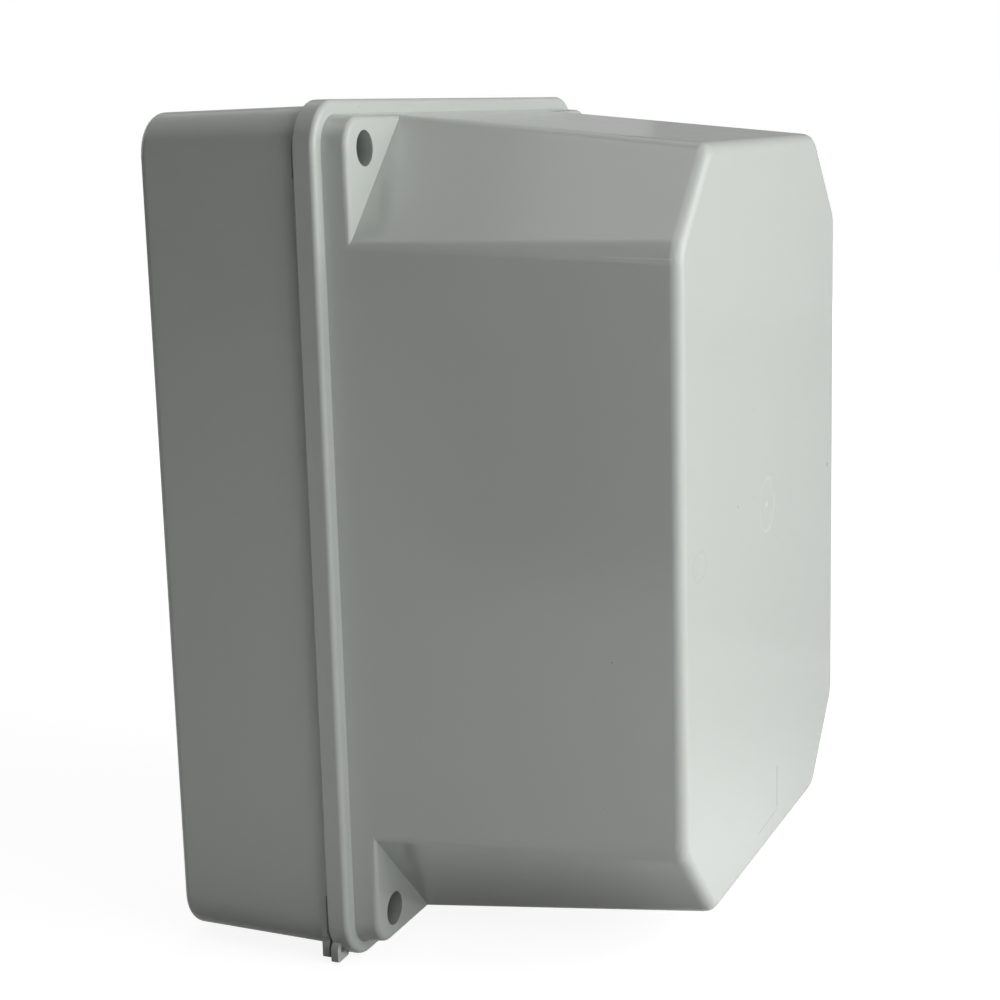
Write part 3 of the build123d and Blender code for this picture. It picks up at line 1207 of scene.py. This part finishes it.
@dataclass(frozen=True)
class GreyCard:
    """An upright grey card that shows only in the gloss of the object, as the walls of a room do."""

    name: str
    start: tuple[float, float]
    end: tuple[float, float]
    low: float
    high: float
    grey: float

    def build(self) -> None:
        """Adds the card to the scene."""
        first, second = Vector((*self.start, self.low)), Vector((*self.end, self.low))
        run = second - first
        bpy.ops.object.select_all(action="DESELECT")
        bpy.ops.mesh.primitive_plane_add(
            size=1.0,
            location=(first + second) / 2.0 + Vector((0.0, 0.0, (self.high - self.low) / 2.0)),
            rotation=(math.pi / 2.0, 0.0, math.atan2(run.y, run.x)),
        )
        card = bpy.context.object
        card.name = self.name
        card.scale = (run.length, self.high - self.low, 1.0)
        card.data.materials.append(self._material())
        card.visible_camera = False
        card.visible_diffuse = False
        card.visible_transmission = False
        card.visible_shadow = False
        card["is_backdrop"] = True

    def _material(self) -> bpy.types.Material:
        """Makes the card's plain glowing material."""
        made = bpy.data.materials.new(self.name)
        made.use_nodes = True
        tree = Tree(made.node_tree)
        glow = tree.first("ShaderNodeEmission", {"Color": WHITE, "Strength": self.grey})
        tree.add("ShaderNodeOutputMaterial", {"Surface": glow})
        return made


AIM = (0.0, -0.12, 0.0)
LAMPS = (
    SoftBox("key_softbox", (-0.2, -1.2, 0.36), AIM, 0.9, 0.95, 6.5, in_gloss=False),
    SoftBox("right_front_softbox", (0.45, -1.2, 0.36), AIM, 0.9, 0.95, 5.9, in_gloss=False),
    SoftBox("beam_softbox", (0.25, -1.2, 0.36), (-0.17, -0.16, 0.1), 0.9, 0.95, 0.66, spread_deg=60.0),
    SoftBox("near_left_softbox", (-0.45, -0.65, 0.12), AIM, 0.35, 0.35, 0.42, in_gloss=False),
    SoftBox("overhead_softbox", (0.0, -0.1, 2.0), AIM, 1.0, 1.0, 3.5),
    SoftBox("overhead_wide_softbox", (-0.35, 0.0, 2.02), AIM, 1.3, 1.3, 1.7),
    SoftBox("overhead_broad_softbox", (-0.75, 0.0, 2.04), AIM, 1.7, 1.7, 1.1),
    SoftBox("right_softbox", (1.9, 0.25, 0.45), AIM, 1.0, 1.0, 6.0, in_gloss=False),
    SoftBox("wall_side_softbox", (0.5, 2.0, 0.45), AIM, 1.0, 1.0, 6.0, in_gloss=False),
)
CARDS = (
    GreyCard("front_right_card", (1.6, -1.4), (1.6, -0.2), -0.12, 1.3, 0.28),
    GreyCard("right_card", (1.6, -0.2), (1.6, 0.4), -0.12, 1.3, 0.34),
    GreyCard("rear_right_card", (1.6, 0.4), (1.6, 1.8), -0.12, 1.3, 0.46),
    GreyCard("left_card", (-1.9, 0.2), (-0.9, 2.2), -0.12, 1.8, 0.20),
    GreyCard("left_upper_card", (-1.9, 0.2), (-0.9, 2.2), 1.8, 3.2, 0.7),
)


@dataclass
class Studio:
    """White surroundings, floor, lamps and grey cards."""

    boxes: tuple[SoftBox, ...]
    cards: tuple[GreyCard, ...]
    floor_size: float = 40.0

    def build(self, floor_height: float) -> None:
        """Adds the world, the lamps, the cards and the floor at the height that the object stands on."""
        self._world()
        self._floor(floor_height)
        for piece in (*self.boxes, *self.cards):
            piece.build()
        bpy.context.scene.view_settings.view_transform = "Standard"

    def _world(self) -> None:
        """Makes a world that is white to look at and in the gloss, and lights nothing itself."""
        world = bpy.data.worlds.new("white_studio")
        bpy.context.scene.world = world
        world.use_nodes = True
        tree = Tree(world.node_tree)
        strength = tree.math("MAXIMUM", *tree.rays())
        white = tree.first("ShaderNodeBackground", {"Color": WHITE, "Strength": strength})
        tree.add("ShaderNodeOutputWorld", {"Surface": white})

    def _floor(self, height: float) -> None:
        """Lays the floor at a height."""
        bpy.ops.mesh.primitive_plane_add(size=self.floor_size, location=(0.0, 0.0, height))
        floor = bpy.context.object
        floor.name = "studio_floor"
        floor.data.materials.append(PaleFloor().material())
        floor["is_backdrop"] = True


@dataclass(frozen=True)
class PhotoCamera:
    """Camera at the viewing angle of the photograph, which is 1000 pixels square."""

    place: Place = (-0.58501, -0.32015, 0.12229)
    azimuth_deg: float = -66.71
    elevation_deg: float = 11.16
    roll_deg: float = -1.57
    lens_mm: float = 70.542
    sensor_mm: float = 36.0

    def build(self) -> None:
        """Adds the camera and makes it the scene's own."""
        azimuth, elevation = math.radians(self.azimuth_deg), math.radians(self.elevation_deg)
        level = math.cos(elevation)
        back = Vector((math.sin(azimuth) * level, -math.cos(azimuth) * level, math.sin(elevation)))
        right = (-back).cross(Vector((0.0, 0.0, 1.0))).normalized()
        up = right.cross(-back)
        roll = math.radians(self.roll_deg)
        across = right * math.cos(roll) + up * math.sin(roll)
        upward = up * math.cos(roll) - right * math.sin(roll)
        data = bpy.data.cameras.new("photo_camera")
        data.lens = self.lens_mm
        data.sensor_width = self.sensor_mm
        camera = bpy.data.objects.new("photo_camera", data)
        bpy.context.scene.collection.objects.link(camera)
        turn = Matrix((across, upward, back)).transposed().to_4x4()
        camera.matrix_world = Matrix.Translation(self.place) @ turn
        bpy.context.scene.camera = camera


def main() -> None:
    """Builds the enclosure's looks in order."""
    logging.basicConfig(level=logging.INFO, format="%(name)s: %(message)s")
    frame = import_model()
    low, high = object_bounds()
    Base("base", "base", Slot.HOUSING, BASE_GREY).build(frame)
    Lid("lid", "lid", Slot.HOUSING, LID_GREY).build(frame)
    gasket = MouldedShell("lid_gasket", "lid", Slot.GASKET, GASKET_FOAM, GASKET_EDGE, edge_steps=3)
    gasket.build(frame)
    for screw in LidScrew(SCREW_GREY).build(tuple(Corner)):
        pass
    Studio(boxes=LAMPS, cards=CARDS).build(low.z)
    PhotoCamera().build()


if __name__ == "__main__":
    main()
